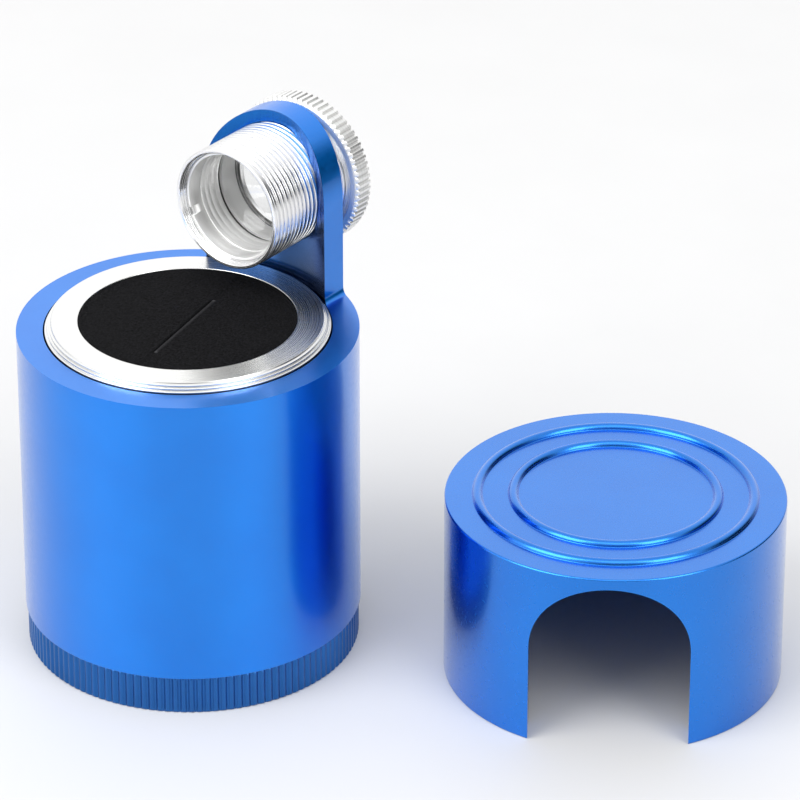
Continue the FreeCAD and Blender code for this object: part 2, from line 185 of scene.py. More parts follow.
def smooth(piece):
    piece.data.polygons.foreach_set("use_smooth", [True] * len(piece.data.polygons))


def polish(piece):
    smooth(piece)
    weights = piece.modifiers.new("normals", "WEIGHTED_NORMAL")
    weights.weight = 60
    weights.keep_sharp = False
    settle(piece)


def fit(piece, body, slotName, material, *nodes):
    piece.data.materials.clear()
    piece.data.materials.append(material)
    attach(piece, body)
    if nodes:
        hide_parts(*nodes)
    print("made", piece.name, len(piece.data.polygons), "faces")


def ribbed(topRadius, depth, count, crest, flank):
    # knurling rolled into the rim: the blank's own corners fade the grooves out
    def warp(radius, height, turn):
        phase = (turn * count / (2 * np.pi)) % 1.0
        valley = np.clip((np.abs(2 * phase - 1) - crest) / flank, 0, 1)
        return np.minimum(radius, topRadius - depth * valley), height
    return warp


def threaded(crest, depth, pitch, low, high, inside=False):
    # a right-hand screw thread with a flat crest and a narrow root
    root, slope, slack = 1.25, 2.4, 0.01

    def warp(radius, height, turn):
        phase = (height / pitch - turn / (2 * np.pi)) % 1.0
        groove = np.clip(root - np.abs(2 * phase - 1) * slope, 0, 1)
        near = (height > low) & (height < high)
        if inside:
            onWall = np.abs(radius - crest) < slack
            shaped = np.where(near & onWall, crest - depth * (1 - groove), radius)
        else:
            shaped = np.where(near, np.minimum(radius, crest - depth * groove), radius)
        return shaped, height
    return warp


def nodeOf(material, kind, **settings):
    node = material.node_tree.nodes.new(kind)
    for key, value in settings.items():
        setattr(node, key, value)
    return node


def feed(material, socket, value):
    # links another node's output, or sets a plain value
    if isinstance(value, bpy.types.NodeSocket):
        material.node_tree.links.new(value, socket)
    else:
        socket.default_value = value


def newMaterial(name, look):
    material = bpy.data.materials.new(name)
    material.use_nodes = True
    shader = material.node_tree.nodes["Principled BSDF"]
    for socket, value in look.items():
        shader.inputs[socket].default_value = value
    return material, shader


def mathNode(material, operation, first, second=None):
    node = nodeOf(material, "ShaderNodeMath", operation=operation)
    feed(material, node.inputs[0], first)
    if second is not None:
        feed(material, node.inputs[1], second)
    return node.outputs[0]


def mixNode(material, share, first, second, **settings):
    # share 0 gives the first value, share 1 the second
    node = nodeOf(material, "ShaderNodeMix", **settings)
    for name, value in (("Factor", share), ("A", first), ("B", second)):
        feed(material, node.inputs[name], value)
    return node.outputs["Result"]


def blendColour(material, share, first, second, **settings):
    first, second = ((*c, 1) if isinstance(c, tuple) else c for c in (first, second))
    return mixNode(material, share, first, second, data_type="RGBA", **settings)


def spread(material, value, low, high, fromLow=0.3, fromHigh=0.7):
    node = nodeOf(material, "ShaderNodeMapRange")
    for index, number in enumerate((value, fromLow, fromHigh, low, high)):
        feed(material, node.inputs[index], number)
    return node.outputs[0]


def shiftedPlace(material, centre):
    place = nodeOf(material, "ShaderNodeTexCoord")
    shift = nodeOf(material, "ShaderNodeMapping")
    shift.inputs["Location"].default_value = [-c * mm for c in centre]
    feed(material, shift.inputs["Vector"], place.outputs["Object"])
    return shift.outputs[0]


def fromAxis(material, centre, alongY=False):
    # the squared distance from an axis through the centre, and the place along it
    parts = nodeOf(material, "ShaderNodeSeparateXYZ")
    feed(material, parts.inputs[0], shiftedPlace(material, centre))
    across, other, along = ("X", "Z", "Y") if alongY else ("X", "Y", "Z")
    squares = mathNode(material, "ADD", mathNode(material, "POWER", parts.outputs[across], 2.0),
                       mathNode(material, "POWER", parts.outputs[other], 2.0))
    return squares, parts.outputs[along]


def turningMarks(material, centre, alongY=False, scale=9000.0):
    # noise that changes only across the tool's path: distance from the axis plus distance along it
    squares, along = fromAxis(material, centre, alongY)
    noise = nodeOf(material, "ShaderNodeTexNoise", noise_dimensions="1D")
    noise.inputs["Scale"].default_value = scale
    noise.inputs["Detail"].default_value = 3.0
    feed(material, noise.inputs["W"], mathNode(material, "ADD", mathNode(material, "SQRT", squares), along))
    return noise.outputs[0]


def cloud(material, scale, detail, centre=(0, 0, 0)):
    noise = nodeOf(material, "ShaderNodeTexNoise")
    noise.inputs["Scale"].default_value = scale
    noise.inputs["Detail"].default_value = detail
    feed(material, noise.inputs["Vector"], shiftedPlace(material, centre))
    return noise.outputs[0]


def bumps(material, shader, height, strength, distance):
    node = nodeOf(material, "ShaderNodeBump")
    node.inputs["Strength"].default_value = strength
    node.inputs["Distance"].default_value = distance * mm
    feed(material, node.inputs["Height"], height)
    feed(material, shader.inputs["Normal"], node.outputs[0])


def latheGrain(material, shader, strength, alongY=False):
    # turned metal spreads its reflections across the tool marks
    tangent = nodeOf(material, "ShaderNodeTangent", direction_type="RADIAL", axis="Y" if alongY else "Z")
    feed(material, shader.inputs["Tangent"], tangent.outputs[0])
    shader.inputs["Anisotropic"].default_value = strength
    shader.inputs["Anisotropic Rotation"].default_value = 0.25


def inTheBore(material, centre, radius, floor, roof):
    # one inside a bore of this radius between two heights, nought outside; and the height itself
    squares, height = fromAxis(material, centre)
    inside = mathNode(material, "LESS_THAN", squares, (radius * mm) ** 2)
    above = mathNode(material, "GREATER_THAN", height, floor * mm)
    below = mathNode(material, "LESS_THAN", height, roof * mm)
    share = mathNode(material, "MULTIPLY", inside, mathNode(material, "MULTIPLY", above, below))
    return share, height


# the looks of the blue parts; a bore is (radius, floor, roof) of what was bored, and shade is painted
# inside it
blueLook = {
    "colour": (0.0, 0.205, 0.76),
    "deepColour": (0.0, 0.185, 0.71),
    "roughness": (0.28, 0.34),
    "grain": 0.75,
    "coat": 0.8,
    "coatRoughness": 0.16,
    "marks": 0.12,
    "paintedBoreShade": 0.66,  # painted shade: the colour is darkened inside a bore
    "boreRoughness": 0.22,
    "boreCoat": 0.4,
    "paintedLowShade": 0.3,  # painted shade, deepest at the arm's root and fading out between these heights
    "paintedLowShadeHeights": (54.0, 64.0),
}
capLook = {
    **blueLook,
    "colour": (0.0, 0.18, 0.68),
    "deepColour": (0.0, 0.165, 0.64),
    "roughness": (0.22, 0.28),
    "grain": 0.65,
    "boreCoat": 0.25,
}
baseLook = {
    "colour": (0.005, 0.12, 0.40),
    "deepColour": (0.0, 0.09, 0.32),
    "roughness": (0.34, 0.46),
    "grain": 0.3,
    "coat": 0.6,
    "coatRoughness": 0.3,
    "marks": 0.25,
}
shellBore = (21.2, 50.9, 80)
capBore = (21.2, 0, 27.4)
markDepth = 0.02


def anodised(name, centre, look, bore=None, low=False):
    material, shader = newMaterial(name, {
        "Metallic": 1.0, "Coat Weight": look["coat"], "Coat Roughness": look["coatRoughness"],
    })
    patches = cloud(material, 90.0, 4.0, centre)
    colour = blendColour(material, spread(material, patches, 0, 1), look["deepColour"], look["colour"])
    roughness = spread(material, cloud(material, 1500.0, 2.0, centre), *look["roughness"])
    # painted shade: the colour is multiplied darker inside the bore
    if bore:
        share, height = inTheBore(material, centre, *bore)
        paintedShade = (look["paintedBoreShade"],) * 3
        colour = blendColour(material, share, colour, paintedShade, blend_type="MULTIPLY")
        # painted shade: the bore's colour grows darker towards the arm's root
        if low:
            fade = spread(material, height, look["paintedLowShade"], 1.0, *(h * mm for h in look["paintedLowShadeHeights"]))
            scaled = nodeOf(material, "ShaderNodeVectorMath", operation="SCALE")
            feed(material, scaled.inputs[0], colour)
            feed(material, scaled.inputs["Scale"], mixNode(material, share, 1.0, fade))
            colour = scaled.outputs[0]
        roughness = mixNode(material, share, roughness, look["boreRoughness"])
        coat = spread(material, share, look["coat"], look["boreCoat"], 0.0, 1.0)
        feed(material, shader.inputs["Coat Weight"], coat)
    feed(material, shader.inputs["Base Color"], colour)
    feed(material, shader.inputs["Roughness"], roughness)
    latheGrain(material, shader, look["grain"])
    bumps(material, shader, turningMarks(material, centre), look["marks"], markDepth)
    return material


# bare aluminium; each part says only where it differs
metalLook = {
    "colour": (0.86, 0.86, 0.86),
    "dullColour": (0.76, 0.76, 0.77),
    "roughness": (0.16, 0.30),
    "grain": 0.7,
    "marks": 0.35,
    "metallic": 1.0,
}


def bareMetal(name, centre, alongY, **changes):
    look = {**metalLook, **changes}
    material, shader = newMaterial(name, {"Metallic": look["metallic"]})
    marks = turningMarks(material, centre, alongY, 7000.0)
    colour = blendColour(material, spread(material, marks, 0, 1), look["dullColour"], look["colour"])
    feed(material, shader.inputs["Base Color"], colour)
    feed(material, shader.inputs["Roughness"], spread(material, marks, *look["roughness"]))
    latheGrain(material, shader, look["grain"], alongY)
    bumps(material, shader, marks, look["marks"], markDepth)
    return material


def plainMaterial(name, colour, otherColour, roughness, grain, depth, **look):
    material, shader = newMaterial(name, look)
    grains = cloud(material, grain, 4.0)
    blended = blendColour(material, spread(material, grains, 0, 1), colour, otherColour)
    feed(material, shader.inputs["Base Color"], blended)
    feed(material, shader.inputs["Roughness"], spread(material, grains, *roughness))
    bumps(material, shader, grains, 0.5, depth)
    return material


middle = (0, 0, 0)
lensCentre = (0, 0, lensHeight)
capLow, capHigh = nodeBox("cap_shell")
capCentre = ((capLow.x + capHigh.x) / 2, (capLow.y + capHigh.y) / 2, 0)
# the shell gets painted shade inside its bore, deepening towards the arm's root
shellBlue = anodised("shell blue", middle, blueLook, shellBore, low=True)
capBlue = anodised("cap blue", capCentre, capLook, capBore)
baseBlue = anodised("base blue", middle, baseLook)
barrelMetal = bareMetal("barrel aluminium", lensCentre, True)
stageMetal = bareMetal(
    "stage aluminium", middle, False, colour=(0.86, 0.86, 0.84), dullColour=(0.76, 0.76, 0.75),
    roughness=(0.22, 0.32), grain=0.4, marks=0.25)
boreMetal = bareMetal(
    "bore aluminium", lensCentre, True, colour=(0.98, 0.98, 0.97), dullColour=(0.93, 0.93, 0.92),
    roughness=(0.30, 0.42), grain=0.3, marks=0.3, metallic=0.6)
knobMetal = bareMetal(
    "knob aluminium", lensCentre, True, colour=(0.86, 0.86, 0.85), dullColour=(0.78, 0.78, 0.77),
    roughness=(0.26, 0.38), grain=0.2, marks=0.3, metallic=0.9)
# painted highlight: near white and barely metallic, so the spacer behind the lenses shows as bright light
spacerPaintedBright = bareMetal(
    "spacer aluminium painted bright", lensCentre, True, colour=(0.99, 0.99, 0.98), dullColour=(0.97, 0.97, 0.96),
    roughness=(0.45, 0.6), grain=0.0, marks=0.2, metallic=0.15)
flock = plainMaterial(
    "black flock", (0.0001, 0.0001, 0.0002), (0.010, 0.010, 0.0115),
    roughness=(0.9, 1.0), grain=2800.0, depth=0.3, **{"Specular IOR Level": 0.08})
foam = plainMaterial(
    "black foam", (0.010, 0.010, 0.011), (0.030, 0.030, 0.032),
    roughness=(0.85, 1.0), grain=2500.0, depth=0.12)
footRubber = plainMaterial(
    "foot rubber", (0.020, 0.020, 0.021), (0.034, 0.034, 0.035),
    roughness=(0.7, 0.9), grain=1800.0, depth=0.03)
discPlastic = plainMaterial(
    "disc plastic", (0.05, 0.05, 0.052), (0.07, 0.07, 0.073),
    roughness=(0.45, 0.6), grain=900.0, depth=0.01)
screwSteel = plainMaterial(
    "screw steel", (0.48, 0.48, 0.49), (0.60, 0.60, 0.61),
    roughness=(0.25, 0.4), grain=2500.0, depth=0.01, Metallic=1.0)
ringBrass = plainMaterial(
    "ring brass", (0.66, 0.47, 0.20), (0.78, 0.58, 0.28),
    roughness=(0.22, 0.36), grain=2500.0, depth=0.01, Metallic=1.0)
lensGlass = plainMaterial(
    "lens glass", (0.985, 0.99, 0.99), (1.0, 1.0, 1.0),
    roughness=(0.0, 0.02), grain=300.0, depth=0.0002, **{"Transmission Weight": 1.0, "IOR": 1.52})
print("materials made")


# shell: the tube and its lens arm, cut from one turned blank
shell = {
    "wall": 3.9, "rim": 50.8, "edge": 0.2, "steps": 288,
    "threadBore": 20.95, "threadTop": 33.9, "recess": 22.55, "recessHeight": 2.5,
    "armHalfWidth": 11.2, "armRoot": 1.0, "headSteps": 48,
    "lensClearance": 0.05, "holeSteps": 96, "holeStart": 5, "cutPast": 4,
}
shellLow, shellHigh = nodeBox("body_shell")


def makeShell():
    outer, bottom, top = shellHigh.x, shellLow.z, shellHigh.z
    bore, recessTop = outer - shell["wall"], bottom + shell["recessHeight"]
    corners = (
        (outer, bottom, 0.2), (outer, top, 0), (bore, top, 0), (bore, shell["threadTop"], 0),
        (shell["threadBore"], shell["threadTop"], 0), (shell["threadBore"], recessTop, 0),
        (shell["recess"], recessTop, 0), (shell["recess"], bottom, 0.15),
    )
    piece = spin("shellTube", softCorners(corners), shell["steps"])
    width, rim, root = shell["armHalfWidth"], shell["rim"], shell["armRoot"]
    far, above = outer + shell["cutPast"], top + shell["cutPast"]
    aroundArm = (
        (far, rim, 0), (far, above, 0), (-far, above, 0), (-far, rim, 0), (-width, rim, root),
        (-width, lensHeight, 0), (width, lensHeight, 0), (width, rim, root),
    )
    outline = []
    for point in softCorners(aroundArm, steps=8):
        outline.append((point.x, point.y))
        if (point - Vector((-width, lensHeight))).length < 1e-6:  # the round head, over the top
            outline += arc(width, 0, lensHeight, math.pi, 0, shell["headSteps"])[1:-1]
    around = prism("aroundArm", outline, -far, far)
    front = prism("frontHalf", ((far, rim), (far, above + 1), (-far, above + 1), (-far, rim)), -far, 0)
    holeRadius = barrelHigh.x + shell["lensClearance"]
    hole = arc(holeRadius, 0, lensHeight, 0, 2 * math.pi, shell["holeSteps"])[:-1]
    carve(piece, around, front, prism("lensHole", hole, shell["holeStart"], far))
    breakEdges(piece, shell["edge"])
    polish(piece)
    fit(piece, "shell", "blue_anodised", shellBlue, "body_shell")


makeShell()


# base: the knurled ring
base = {
    "ribCount": 130, "ribDepth": 0.32, "crest": 0.3, "flank": 0.55, "stepsPerRib": 10, "edge": 0.42,
    "columnSeat": 19.65, "seatHeight": 3.4, "footSeat": 20.05, "footHeight": 1.1,
}
baseHigh = nodeBox("base_ring")[1]


def makeBase():
    outer, top = baseHigh.x, baseHigh.z
    corners = (
        (base["footSeat"], 0, 0.1), (outer, 0, base["edge"]), (outer, top, base["edge"]),
        (base["columnSeat"], top, 0.1), (base["columnSeat"], base["seatHeight"], 0),
        (0, base["seatHeight"], 0), (0, base["footHeight"], 0), (base["footSeat"], base["footHeight"], 0),
    )
    piece = spin("baseRing", softCorners(corners, steps=6), base["ribCount"] * base["stepsPerRib"],
                 warp=ribbed(outer, base["ribDepth"], base["ribCount"], base["crest"], base["flank"]))
    polish(piece)
    fit(piece, "stand", "base_anodised", baseBlue, "base_ring")


makeBase()


# stage column: land, stepped chamfer and screw thread
stage = {
    "land": 19.85, "lip": 0.1, "lipDrop": 0.24, "neck": 19.6, "shoulder": 16.45, "foot": 3.4,
    "ridges": ((20.86, 1.16), (20.56, 0.74), (20.24, 0.34)),  # radius, and how far below the top
    "ridgeCut": 0.26, "ridgeFoot": 0.28, "ridgeEdge": 0.18,
    "pitch": 0.5, "depth": 0.4, "threadShown": 8.0, "rowsPerPitch": 12, "steps": 240,
    "padSeat": 16.0, "padFloor": 30.7, "bore": 14.0, "boreFloor": 8.4,
}
stageHigh = nodeBox("stage_column")[1]


def makeStage():
    top, thread = stageHigh.z, stageHigh.x
    ridges = []
    for radius, drop in stage["ridges"]:  # the chamfer cuts the first turns of the thread to steps
        crest = top - drop
        ridges += [(radius - stage["ridgeCut"], crest - stage["ridgeFoot"], 0.02),
                   (radius, crest - stage["ridgeEdge"], 0.03), (radius, crest, 0.04)]
    corners = (
        (0, stage["foot"], 0), (stage["neck"], stage["foot"], 0.2), (stage["neck"], stage["shoulder"], 0),
        (thread, stage["shoulder"], 0.1), *ridges,
        (stage["land"] + stage["lip"], top - stage["lipDrop"], 0.03), (stage["land"], top, 0.06),
        (stage["padSeat"], top, 0.12), (stage["padSeat"], stage["padFloor"], 0),
        (stage["bore"], stage["padFloor"], 0), (stage["bore"], stage["boreFloor"], 0),
        (0, stage["boreFloor"], 0),
    )
    low, step = top - stage["threadShown"], stage["pitch"] / stage["rowsPerPitch"]
    points = refine(softCorners(corners, closed=False, steps=4), low, top, step, closed=False)
    piece = spin("stageColumn", points, stage["steps"], closed=False,
                 warp=threaded(thread, stage["depth"], stage["pitch"], low, top))
    polish(piece)
    fit(piece, "stand", "bare_aluminium", stageMetal, "stage_column")


makeStage()


# pad: flocked cover over a foam core, both with the ring slit
pad = {
    "radius": 15.95, "edge": 0.45, "nap": 0.03, "foamRadius": 15.7, "foamEdge": 0.3, "foamDepth": 13.0,
    "turn": 101.6, "across": 1.0, "back": 2.3,
    "slitLength": 18.2, "slitHalf": 0.12, "slitDepth": 1.1,
    "slitShape": 0.7, "slitEnd": 0.8, "endShape": 0.5,
    "lip": 0.09, "lipPlace": 0.34, "lipWidth": 0.16,
    # painted highlight on the slit's lit lip: its colour, its share along the middle, its reach and its
    # ends
    "lipHighlightColour": (0.07, 0.07, 0.075), "lipHighlightMiddle": 0.35, "lipReach": 2.4, "lipEnd": 0.7,
    "columns": 150, "crowding": 0.35, "rimGap": 0.02, "lastRow": 0.002, "seed": 7,
    "edgeDrop": 0.6, "napFrom": 0.6, "leastDepth": 0.15,
}
coverLow, coverHigh = nodeBox("flocked_cover")
foamLow, foamHigh = nodeBox("foam_core")


def slitRows(radius):
    # rows lie along the slit and crowd together beside it
    near = [0, 0.05, 0.1, 0.15, 0.2, 0.26, 0.33, 0.4, 0.48, 0.6, 0.75, 0.93]
    far = list(np.arange(1.15, 2 * radius, 0.24))
    return np.array(sorted({-v for v in near + far} | set(near + far)))


def slitPad(name, radius, top, bottom, slitDepth, nap, edge):
    turn, count, crowding = math.radians(pad["turn"]), pad["columns"], pad["crowding"]
    along = Vector((math.cos(turn), math.sin(turn)))
    across = Vector((-math.sin(turn), math.cos(turn)))
    centre = Vector((pad["across"], -pad["back"]))
    shift, halfSlit = centre.dot(across), pad["slitLength"] / 2
    rows = [v for v in slitRows(radius) if abs(v + shift) < radius - pad["rimGap"]]
    rows = [-radius - shift + pad["lastRow"]] + rows + [radius - shift - pad["lastRow"]]
    draws = np.random.default_rng(pad["seed"])
    sheets = []
    for v in rows:
        chord = math.sqrt(max(radius ** 2 - (v + shift) ** 2, 1e-9))
        crowded = -chord * np.cos(np.pi * np.arange(count) / (count - 1))
        u = crowded * crowding + np.linspace(-chord, chord, count) * (1 - crowding)
        x = along.x * u + across.x * (v + shift)
        y = along.y * u + across.y * (v + shift)
        pastEnd = np.abs(u - centre.dot(along)) - halfSlit
        ends = np.clip(-pastEnd / pad["slitEnd"], 0, 1)
        mouth = np.clip(1 - np.abs(v) / pad["slitHalf"], 0, 1) ** pad["slitShape"]
        inset = np.clip((radius - np.hypot(x, y)) / edge, 0, 1)
        rounded = edge * pad["edgeDrop"] * (1 - np.sqrt(1 - (1 - inset) ** 2))
        lip = pad["lip"] * ends * np.exp(-((np.abs(v) - pad["lipPlace"]) / pad["lipWidth"]) ** 2)
        z = top - slitDepth * mouth * ends ** pad["endShape"] - rounded + lip
        sheets.append((x, y, z + nap * draws.standard_normal(count) * (inset > pad["napFrom"])))
    upper = [(sx, sy, sz) for x, y, z in sheets for sx, sy, sz in zip(x, y, z)]
    lower = [(sx, sy, min(bottom, sz - pad["leastDepth"])) for sx, sy, sz in upper]
    total, rowCount = len(upper), len(sheets)
    faces = []
    for i in range(rowCount - 1):
        for j in range(count - 1):
            a = i * count + j
            faces.append((a, a + 1, a + count + 1, a + count))
            faces.append((a + total, a + count + total, a + count + 1 + total, a + 1 + total))
    border = [i * count for i in range(rowCount)] + [(rowCount - 1) * count + j for j in range(1, count)]
    border += [i * count + count - 1 for i in range(rowCount - 2, -1, -1)] + list(range(count - 2, 0, -1))
    for a, b in zip(border, border[1:] + border[:1]):
        faces.append((a, b, b + total, a + total))
    piece = newPiece(name, (np.array(upper + lower) * mm).tolist(), faces)
    cleanMesh(piece)
    smooth(piece)
    return piece


def paintedLipHighlight(material):
    # painted highlight on the side of the slit that faces the light, and at its two ends
    turn, halfSlit = math.radians(pad["turn"]), pad["slitLength"] / 2
    place = shiftedPlace(material, (pad["across"], -pad["back"], 0))
    ways = []
    for way in ((math.cos(turn), math.sin(turn), 0), (-math.sin(turn), math.cos(turn), 0)):
        node = nodeOf(material, "ShaderNodeVectorMath", operation="DOT_PRODUCT")
        feed(material, node.inputs[0], place)
        feed(material, node.inputs[1], way)
        ways.append(node.outputs["Value"])
    along = mathNode(material, "ABSOLUTE", ways[0])
    offSide = mathNode(material, "ABSOLUTE", mathNode(material, "ADD", ways[1], pad["lipPlace"] * mm))
    line = spread(material, offSide, 1.0, 0.0, 0.0, pad["lipWidth"] * pad["lipReach"] * mm)
    inside = mathNode(material, "LESS_THAN", along, halfSlit * mm)
    nearEnd = spread(material, along, pad["lipHighlightMiddle"], 1.0, (halfSlit - pad["lipEnd"]) * mm, halfSlit * mm)
    share = mathNode(material, "MULTIPLY", mathNode(material, "MULTIPLY", line, inside), nearEnd)
    target = material.node_tree.nodes["Principled BSDF"].inputs["Base Color"]
    feed(material, target, blendColour(material, share, target.links[0].from_socket, pad["lipHighlightColour"]))


def makePad():
    paintedLipHighlight(flock)
    cover = slitPad("flockedPad", pad["radius"], coverHigh.z, coverLow.z, pad["slitDepth"], pad["nap"],
                    pad["edge"])
    fit(cover, "stand", "flocking", flock, "flocked_cover")
    core = slitPad("foamCore", pad["foamRadius"], foamHigh.z, foamLow.z, pad["foamDepth"], 0.0,
                   pad["foamEdge"])
    fit(core, "stand", "pad_foam", foam, "foam_core")


makePad()


# lens barrel, threaded inside and out
barrel = {
    "bore": 8.45, "lipBore": 7.6, "lipLength": 1.0, "steps": 256,
    "pitch": 0.9, "depth": 0.36, "plainFront": 0.45, "rowsPerPitch": 14, "skin": 0.25,
    "mouthBore": 8.77, "mouthDepth": 1.2, "mouthPitch": 0.4, "mouthThread": 0.2, "mouthPlain": 0.12,
}


def makeBarrel():
    outer, front, back = barrelHigh.x, barrelLow.y, barrelHigh.y
    step, lip = front + barrel["mouthDepth"], back - barrel["lipLength"]
    corners = (
        (barrel["mouthBore"], front, 0.1), (outer, front, 0.16), (outer, back, 0.1),
        (barrel["lipBore"], back, 0), (barrel["lipBore"], lip, 0), (barrel["bore"], lip, 0),
        (barrel["bore"], step, 0), (barrel["mouthBore"], step, 0),
    )
    rowStep = barrel["pitch"] / barrel["rowsPerPitch"]
    points = refine(softCorners(corners, steps=4), front, back, rowStep)
    outside = threaded(outer, barrel["depth"], barrel["pitch"], front + barrel["plainFront"], back)
    inside = threaded(barrel["mouthBore"], barrel["mouthThread"], barrel["mouthPitch"],
                      front + barrel["mouthPlain"], step, inside=True)

    def warp(radius, height, turn):
        outerRadius = outside(radius, height, turn)[0]
        innerRadius = inside(radius, height, turn)[0]
        return np.where(radius > outer - barrel["skin"], outerRadius, innerRadius), height

    piece = spin("lensBarrel", points, barrel["steps"], warp=warp)
    piece.data.transform(alongLens)
    polish(piece)
    fit(piece, "eyepiece", "bare_aluminium", barrelMetal, "lens_barrel")


makeBarrel()


# focus knob outside the arm
knob = {
    "bore": 9.35, "face": 10.3, "bevel": 10.95, "shoulder": 25.65, "chamfer": 0.3,
    "ribCount": 72, "ribDepth": 0.34, "crest": 0.45, "flank": 0.3, "stepsPerRib": 14,
    "eyeOpening": 8.9, "eyeBore": 7.6, "eyeLand": 0.1, "seat": 27.65,
}
knobLow, knobHigh = nodeBox("focus_knob")


def makeKnob():
    outer, front, back = knobHigh.x, knobLow.y, knobHigh.y
    corners = (
        (knob["bore"], front, 0.05), (knob["face"], front, 0.12), (knob["bevel"], knob["shoulder"], 0.1),
        (outer, knob["shoulder"] + knob["chamfer"], 0.1), (outer, back - knob["chamfer"], 0.1),
        (knob["bevel"], back, 0.15), (knob["eyeOpening"], back, 0.15),
        (knob["eyeBore"], knob["seat"] + knob["eyeLand"], 0.05), (knob["eyeBore"], knob["seat"], 0),
        (knob["bore"], knob["seat"], 0),
    )
    piece = spin("focusKnob", softCorners(corners), knob["ribCount"] * knob["stepsPerRib"],
                 warp=ribbed(outer, knob["ribDepth"], knob["ribCount"], knob["crest"], knob["flank"]))
    piece.data.transform(alongLens)
    polish(piece)
    fit(piece, "eyepiece", "bare_aluminium", knobMetal, "focus_knob")


makeKnob()


# inside the barrel: slotted ring, spacer tube and the two lenses
optics = {
    "ringBore": 8.0, "slotWidth": 1.3, "slotDepth": 1.0, "slotTurn": 22.0, "ringSteps": 1080,
    "tubeBore": 7.9, "marks": (13.9, 14.9, 16.1), "markHalf": 0.12, "markDepth": 0.07,
    "frontCurve": 24.0, "rearCurve": 30.0, "lensRows": 18, "steps": 192,
}


def makeRing():
    low, high = nodeBox("retaining_ring")
    bore = optics["ringBore"]
    corners = ((bore, low.y, 0.12), (high.x, low.y, 0.08), (high.x, high.y, 0), (bore, high.y, 0))

    def warp(radius, height, turn):
        lean = turn + math.radians(optics["slotTurn"])
        inSlot = np.abs(radius * np.sin(lean)) < optics["slotWidth"] / 2
        return radius, np.where(inSlot, np.maximum(height, low.y + optics["slotDepth"]), height)

    piece = spin("retainingRing", softCorners(corners), optics["ringSteps"], warp=warp)
    piece.data.transform(alongLens)
    polish(piece)
    fit(piece, "eyepiece", "bare_aluminium", boreMetal, "retaining_ring")


def makeSpacerTube():
    low, high = nodeBox("spacer_tube")
    bore, half = optics["tubeBore"], optics["markHalf"]
    corners = [(bore, low.y, 0.08), (high.x, low.y, 0), (high.x, high.y, 0), (bore, high.y, 0.08)]
    for mark in reversed(optics["marks"]):  # light tool steps along the bore
        corners += [(bore, mark + half, 0), (bore + optics["markDepth"], mark, 0), (bore, mark - half, 0)]
    piece = spin("spacerTube", softCorners(corners), optics["steps"])
    piece.data.transform(alongLens)
    polish(piece)
    fit(piece, "eyepiece", "bare_aluminium", boreMetal, "spacer_tube")


def lensFace(radius, curve, end, way):
    # a face from the axis to the rim; way is -1 when it bulges towards the mouth, end is its crown
    if not curve:
        return [Vector((0, end)), Vector((radius, end))]
    rim = math.sqrt(curve ** 2 - radius ** 2)
    edge = end - way * (curve - rim)
    places = (radius * k / optics["lensRows"] for k in range(optics["lensRows"] + 1))
    return [Vector((r, edge + way * (math.sqrt(curve ** 2 - r ** 2) - rim))) for r in places]


def makeLens(name, node, frontCurve, backCurve):
    low, high = nodeBox(node)
    front = lensFace(high.x, frontCurve, low.y, -1)
    back = lensFace(high.x, backCurve, high.y, 1)
    piece = spin(name, front + back[::-1], optics["steps"], closed=False)
    piece.data.transform(alongLens)
    polish(piece)
    fit(piece, "focus_slide", "lens_glass", lensGlass, node)


makeRing()
makeSpacerTube()
makeLens("frontLens", "front_lens", optics["frontCurve"], optics["frontCurve"])
makeLens("rearLens", "rear_lens", optics["rearCurve"], None)  # flat behind


# cap: turned cup with two beads and the arch
cap = {
    "wall": 3.9, "top": 1.6, "height": 28.7, "edge": 0.28, "facing": -56.1, "steps": 288,
    "beads": (20.2, 14.95), "beadRadius": 0.75, "beadFoot": 0.14, "footSteps": 5, "crownSteps": 16,
    "archHalfWidth": 11.65, "archHeight": 15.4, "archEdge": 0.12, "archSteps": 56,
    "cutBelow": 2, "cutPast": 3,
}


def beadCorners(place):
    # a half-round bead with a small fillet at each foot, from the outer foot to the inner one
    r, foot, top = cap["beadRadius"], cap["beadFoot"], cap["height"]
    dip = math.asin(foot / (r + foot))
    reach = (r + foot) * math.cos(dip)
    fillet = arc(-foot, 0, foot, math.pi / 2, dip, cap["footSteps"])
    crown = arc(r, place, top, dip, math.pi - dip, cap["crownSteps"])[1:-1]
    outerFoot = [(place + reach + x, top + z, 0) for x, z in fillet]
    innerFoot = [(place - reach - x, top + z, 0) for x, z in fillet]
    return outerFoot + [(x, z, 0) for x, z in crown] + innerFoot[::-1]


def makeCap():
    outer = (capHigh.x - capLow.x) / 2
    bore, roof, top = outer - cap["wall"], cap["height"] - cap["top"], cap["height"]
    corners = [(0, roof, 0), (bore, roof, 0.5), (bore, 0, 0.15), (outer, 0, 0.2), (outer, top, cap["edge"])]
    for place in cap["beads"]:
        corners += beadCorners(place)
    corners.append((0, top, 0))
    piece = spin("capShell", softCorners(corners, closed=False), cap["steps"], closed=False)
    width = cap["archHalfWidth"]
    outline = [(-width, -cap["cutBelow"]), (width, -cap["cutBelow"])]
    outline += arc(width, 0, cap["archHeight"], 0, math.pi, cap["archSteps"])
    carve(piece, prism("arch", outline, -outer - cap["cutPast"], 0))
    breakEdges(piece, cap["archEdge"], steps=2, angle=50)
    turn = Matrix.Rotation(math.radians(cap["facing"] + 90), 4, "Z")
    piece.data.transform(Matrix.Translation([c * mm for c in capCentre]) @ turn)
    polish(piece)
    fit(piece, "cap", "blue_anodised", capBlue, "cap_shell")


makeCap()


